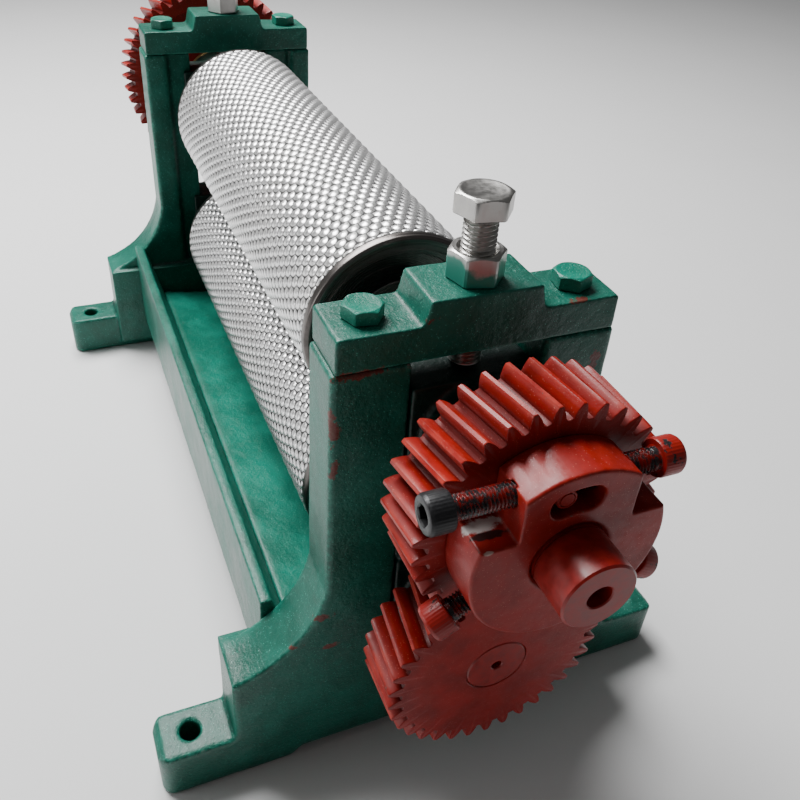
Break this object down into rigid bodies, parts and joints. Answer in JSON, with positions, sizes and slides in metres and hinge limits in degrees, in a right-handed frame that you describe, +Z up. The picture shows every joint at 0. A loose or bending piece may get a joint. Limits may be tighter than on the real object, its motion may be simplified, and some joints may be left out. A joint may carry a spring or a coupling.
{
  "type": "beeswax foundation roller mill",
  "caption": "Bench roller mill: two honeycomb-embossed rollers one above the other in end castings, geared together, with set screws for roller gap and phase.",
  "frame": {"origin": "middle of the four foot holes, on the surface the feet stand on", "axes": "+X to the right and +Y to the rear as seen from the end with the two meshing gears, +Z up"},
  "size_m": [0.257, 0.536, 0.267],
  "materials": {
    "green_paint": "hammered gloss",
    "red_paint": "gloss, brushed on",
    "worn_red_paint": "gloss with a worn dark end",
    "embossed_alloy": "cast, embossed with honeycomb cells",
    "turned_steel": "turned",
    "zinc_plated": "zinc plated, paint smeared",
    "black_oxide": "black oxide",
    "bronze": "machined",
    "spring_steel": "oiled"
  },
  "bodies": {
    "frame": {"front_cheek": "green_paint", "rear_cheek": "green_paint", "left_rail": "green_paint", "right_rail": "green_paint", "drip_trough": "green_paint", "front_cap": "green_paint", "rear_cap": "green_paint", "front_cap_bolts": "green_paint", "rear_cap_bolts": "green_paint", "front_lower_bearing_block": "green_paint", "rear_lower_bearing_block": "green_paint", "front_lower_bush": "bronze", "rear_lower_bush": "bronze", "front_lift_spring": "spring_steel", "rear_lift_spring": "spring_steel"},
    "upper_carriage": {"front_upper_bearing_block": "green_paint", "rear_upper_bearing_block": "green_paint", "front_upper_bush": "bronze", "rear_upper_bush": "bronze"},
    "front_adjusting_bolt": {"front_adjusting_bolt": "zinc_plated"},
    "rear_adjusting_bolt": {"rear_adjusting_bolt": "zinc_plated"},
    "front_locknut": {"front_locknut": "zinc_plated"},
    "rear_locknut": {"rear_locknut": "zinc_plated"},
    "lower_roller": {"lower_roller_shell": "embossed_alloy", "lower_roller_flanges": "turned_steel", "lower_shaft": "turned_steel", "lower_gear": "red_paint"},
    "upper_gear": {"upper_gear": "red_paint", "phase_stud": "zinc_plated"},
    "upper_roller": {"upper_roller_shell": "embossed_alloy", "upper_roller_flanges": "turned_steel", "upper_shaft": "turned_steel", "phase_hub": "red_paint", "hub_lock_screws": "worn_red_paint", "drive_gear": "red_paint", "drive_gear_key": "turned_steel"},
    "left_phase_screw": {"left_phase_screw": "black_oxide"},
    "right_phase_screw": {"right_phase_screw": "worn_red_paint"}
  },
  "joints": [
    {"name": "roller_lift", "type": "slide", "parent": "frame", "child": "upper_carriage", "axis": [0, 0, 1], "range_m": [0, 0.003], "deforming": ["front_lift_spring", "rear_lift_spring"]},
    {"name": "front_adjusting_bolt_turn", "type": "hinge", "parent": "upper_carriage", "child": "front_adjusting_bolt", "pos_m": [0, -0.1842, 0.235], "axis": [0, 0, 1], "range_deg": [-2, 620]},
    {"name": "rear_adjusting_bolt_turn", "type": "hinge", "parent": "upper_carriage", "child": "rear_adjusting_bolt", "pos_m": [0, 0.1842, 0.235], "axis": [0, 0, 1], "range_deg": [-2, 620]},
    {"name": "front_locknut_turn", "type": "hinge", "parent": "frame", "child": "front_locknut", "pos_m": [0, -0.1842, 0.241], "axis": [0, 0, 1], "range_deg": [0, 180]},
    {"name": "rear_locknut_turn", "type": "hinge", "parent": "frame", "child": "rear_locknut", "pos_m": [0, 0.1842, 0.241], "axis": [0, 0, 1], "range_deg": [0, 180]},
    {"name": "lower_roller_spin", "type": "hinge", "parent": "frame", "child": "lower_roller", "pos_m": [0, 0, 0.095], "axis": [0, 1, 0], "continuous": true},
    {"name": "upper_gear_spin", "type": "hinge", "parent": "upper_carriage", "child": "upper_gear", "pos_m": [0, 0, 0.181], "axis": [0, 1, 0], "continuous": true},
    {"name": "phase_adjust", "type": "hinge", "parent": "upper_gear", "child": "upper_roller", "pos_m": [0, 0, 0.181], "axis": [0, 1, 0], "range_deg": [-6, 4]},
    {"name": "left_phase_screw_feed", "type": "slide", "parent": "upper_roller", "child": "left_phase_screw", "axis": [1, 0, 0], "range_m": [-0.0022, 0.003]},
    {"name": "right_phase_screw_feed", "type": "slide", "parent": "upper_roller", "child": "right_phase_screw", "axis": [1, 0, 0], "range_m": [-0.0022, 0.003]}
  ],
  "couplings": [
    {"joint": "front_adjusting_bolt_turn", "follows": "roller_lift", "rad_per_m": 3590.4},
    {"joint": "rear_adjusting_bolt_turn", "follows": "roller_lift", "rad_per_m": 3590.4},
    {"joint": "upper_gear_spin", "follows": "lower_roller_spin", "ratio": -1},
    {"joint": "left_phase_screw_feed", "follows": "phase_adjust", "m_per_rad": -0.0236},
    {"joint": "right_phase_screw_feed", "follows": "phase_adjust", "m_per_rad": -0.0236}
  ]
}
